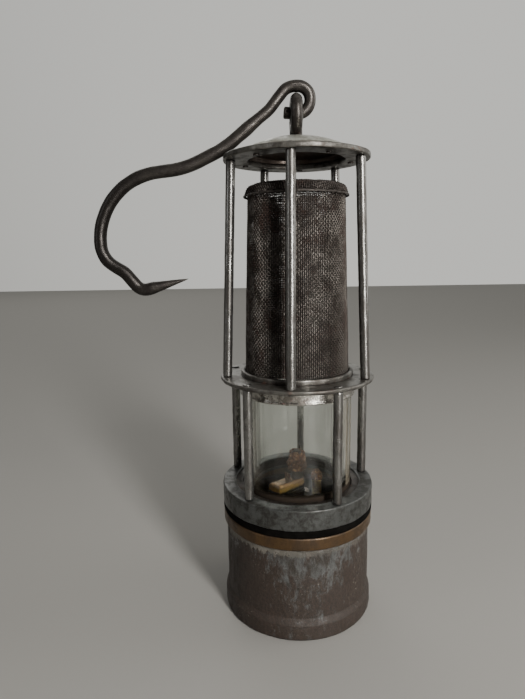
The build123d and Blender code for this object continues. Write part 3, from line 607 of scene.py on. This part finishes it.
turned("disc_of_frame", [(25.3, 245.3), (37.9, 245.3), (37.9, DISC_TOP), (25.3, DISC_TOP)],
       "worn_steel", "frame", corner=0.7, dent=0.35, grain=0.06, size=7.0, stands_for=("top_disc",), seed=7.0)

DOME_WALL = 1.2
BEND_R = 25.0  # where the sphere turns down into the flange
FLANGE_TOP = 248.8


def crown_z(radius, drop=0.0):
    """Height of the dome's sphere at a radius from the axis."""
    return DOME_TOP - DOME_SPHERE_R - drop + math.sqrt(DOME_SPHERE_R ** 2 - radius ** 2)


outside = [(r, crown_z(r)) for r in (3.0, 8.0, 13.0, 18.0, 22.0, BEND_R)]
inside = [(r, crown_z(r, DOME_WALL)) for r in (24.6, 22.0, 18.0, 13.0, 8.0, 3.0)]
turned("pressed_dome", outside + [(27.0, crown_z(BEND_R) - 1.4), (27.6, FLANGE_TOP), (31.2, FLANGE_TOP),
                                  (31.2, DISC_TOP), (25.8, DISC_TOP), (25.6, crown_z(BEND_R) - 1.6)] + inside,
       "dome_steel", "frame", corner=0.5, dent=0.3, grain=0.04, size=9.0,
       stands_for=("dome",), seed=8.0)


def crust(turn, p):
    """Thick uneven rust round the nut on the guide post."""
    spot = Vector((math.cos(turn) * p.x, math.sin(turn) * p.x, p.y))
    return 1.1 * noise.fractal(spot / 1.7, 1.0, 2.0, 4)


GUIDE_POST_AT = (11.6, 2.2)
turned("guide_post", [(0.3, 60.0), (3.3, 60.0), (3.3, 61.0), (2.9, 61.5), (2.9, 70.8), (2.5, 71.2),
                      (0.3, 71.2)], "post_brass", "vessel", corner=0.2, dent=0.1, size=2.0,
       around=72, centre=GUIDE_POST_AT)
turned("guide_nut", [(0.3, 71.0), (2.9, 71.0), (3.4, 72.6), (3.0, 75.0), (1.7, 76.6), (0.3, 76.6)],
       "rusted_iron", "vessel", corner=0.5, dent=0.3, grain=0.2, size=1.5, around=96, extra=crust,
       centre=GUIDE_POST_AT)

reworked("hook", "forged_hook", "hook_iron", "hook", 0.42, dent=0.2, size=7.0, grain=0.03, seed=1.0)
reworked("swivel_eye", "forged_eye", "hook_iron", "swivel", 0.3, dent=0.2, size=3.0, grain=0.04, seed=2.0)
reworked("burner_crown", "corroded_crown", "rusted_iron", "vessel", 0.22, dent=0.5, size=2.4, lumps=1.3,
         lump_size=2.6, smooth=2, seed=3.0, grow=0.2)
reworked("striker_plate", "corroded_striker", "rusted_iron", "vessel", 0.12, dent=0.1, size=1.5, lumps=0.12,
         smooth=1, seed=4.0)
reworked("relighter_housing", "cast_housing", "burner_brass", "vessel", 0.2, dent=0.15, size=3.0, grain=0.03,
         smooth=28, seed=5.0)
reworked("lock_housing", "cast_lock", "grey_ring", "frame", 0.3, dent=0.2, size=4.0, grain=0.04, seed=6.0)
PILLARS = 5
for k in range(1, PILLARS + 1):
    for tier, seed in (("upper", 10.0), ("lower", 20.0)):
        reworked(f"{tier}_pillar_{k}", f"{tier}_rod_{k}", "pillar_steel", "frame", 0.42, dent=0.14, size=6.0,
                 grain=0.03, smooth=4, seed=seed + k)

# ---------------------------------------------------------------- CAD nodes shown as they are

shown_as = {
    "vessel_steel": ("vessel_bottom",),
    "sooty_brass": ("vessel_deck", "wick_tube", "burner_base", "relighter_bracket"),
    "aged_brass": ("filler_neck", "filler_plug", "wick_gland", "relighter_tube", "wick_knob",
                   "wick_screw", "wick_carrier", "relighter_knob"),
    "gasket_fibre": ("filler_washer", "glass_seat_gasket", "glass_top_gasket"),
    "cotton": ("cotton_wadding",),
    "nickel_screw": ("burner_screws",),
    "waxed_strip": ("relighter_strip",),
    "spring_steel": ("lock_spring", "lock_bolt", "relighter_wheel"),
    "dark_steel": ("glass_clamp_ring", "dome_rivets", "swivel_washer"),
    "clear_glass": ("glass",),
    "charred": ("wick",),
}
for finish, shown in shown_as.items():
    for node in shown:
        mesh = nodes[node].data
        mesh.materials.clear()
        mesh.materials.append(finishes[finish])

# ---------------------------------------------------------------- floor, light, camera

FLOOR_SIZE = 6.0
FLOOR_DROP = 0.0002  # keeps the floor just under the lamp's foot
bpy.ops.mesh.primitive_plane_add(size=FLOOR_SIZE, location=(0, 0, -FLOOR_DROP))
floor = bpy.context.object
floor.name = "floor"
pale = bpy.data.materials.new("pale_floor")
pale.use_nodes = True
pale_shader = pale.node_tree.nodes["Principled BSDF"]
pale_shader.inputs["Base Color"].default_value = rgb(0.235, 0.228, 0.212)
pale_shader.inputs["Roughness"].default_value = 0.7
floor.data.materials.append(pale)

world = bpy.data.worlds.new("soft_room")
bpy.context.scene.world = world
world.use_nodes = True
room = world.node_tree
toward = add(room, "TexCoord").outputs["Generated"]
BRIGHT_WAY = (0.55, 0.80, 0.25)  # the room is brightest behind the lamp and to its right
facing = add(room, "VectorMath", {"operation": "DOT_PRODUCT"}, i0=toward, i1=BRIGHT_WAY).outputs["Value"]
wall_glow = ramp(room, facing, -0.5, 0.95)
back = room.nodes["Background"]
wall = blend(room, wall_glow, rgb(0.125, 0.120, 0.111), rgb(0.66, 0.655, 0.62))
room.links.new(wall, back.inputs["Color"])
back.inputs["Strength"].default_value = 1.0


def soft_light(name, at, aim, size, power, colour=(1.0, 0.98, 0.95)):
    """A rectangular area light at a place in metres, turned to a point on the lamp."""
    data = bpy.data.lights.new(name, "AREA")
    data.shape = "RECTANGLE"
    data.size, data.size_y = size
    data.energy = power
    data.color = colour
    obj = bpy.data.objects.new(name, data)
    bpy.context.scene.collection.objects.link(obj)
    obj.location = at
    obj.rotation_euler = (Vector(aim) - Vector(at)).to_track_quat("-Z", "Y").to_euler()


soft_light("window", (0.34, -0.66, 0.42), (0, 0, 0.15), (0.11, 0.75), 13.5)
soft_light("side_window", (0.95, 0.10, 0.50), (0, 0, 0.14), (0.5, 0.9), 3.4)
soft_light("left_fill", (-0.85, -0.45, 0.45), (0, 0, 0.14), (0.25, 0.7), 1.0, (0.95, 0.97, 1.0))
soft_light("back_fill", (-0.8, 2.5, 1.9), (0, 0, 0.14), (1.6, 1.6), 14.0)

camera_data = bpy.data.cameras.new("camera")
camera = bpy.data.objects.new("camera", camera_data)
bpy.context.scene.collection.objects.link(camera)
camera_data.lens = 27.04
camera_data.sensor_width = 36.0
camera_data.clip_start = 0.01
camera_data.clip_end = 50.0
yaw, pitch, roll = math.radians(0.169), math.radians(10.163), math.radians(-0.839)
look = Vector((math.sin(yaw) * math.cos(pitch), math.cos(yaw) * math.cos(pitch), -math.sin(pitch)))
right = look.cross(Vector((0, 0, 1))).normalized()
upward = right.cross(look)
right, upward = (right * math.cos(roll) + upward * math.sin(roll),
                 upward * math.cos(roll) - right * math.sin(roll))
stand = Vector((-0.01956, -0.2835, 0.1979))
camera.matrix_world = Matrix((
    (right.x, upward.x, -look.x, stand.x), (right.y, upward.y, -look.y, stand.y),
    (right.z, upward.z, -look.z, stand.z), (0, 0, 0, 1),
))
bpy.context.scene.camera = camera
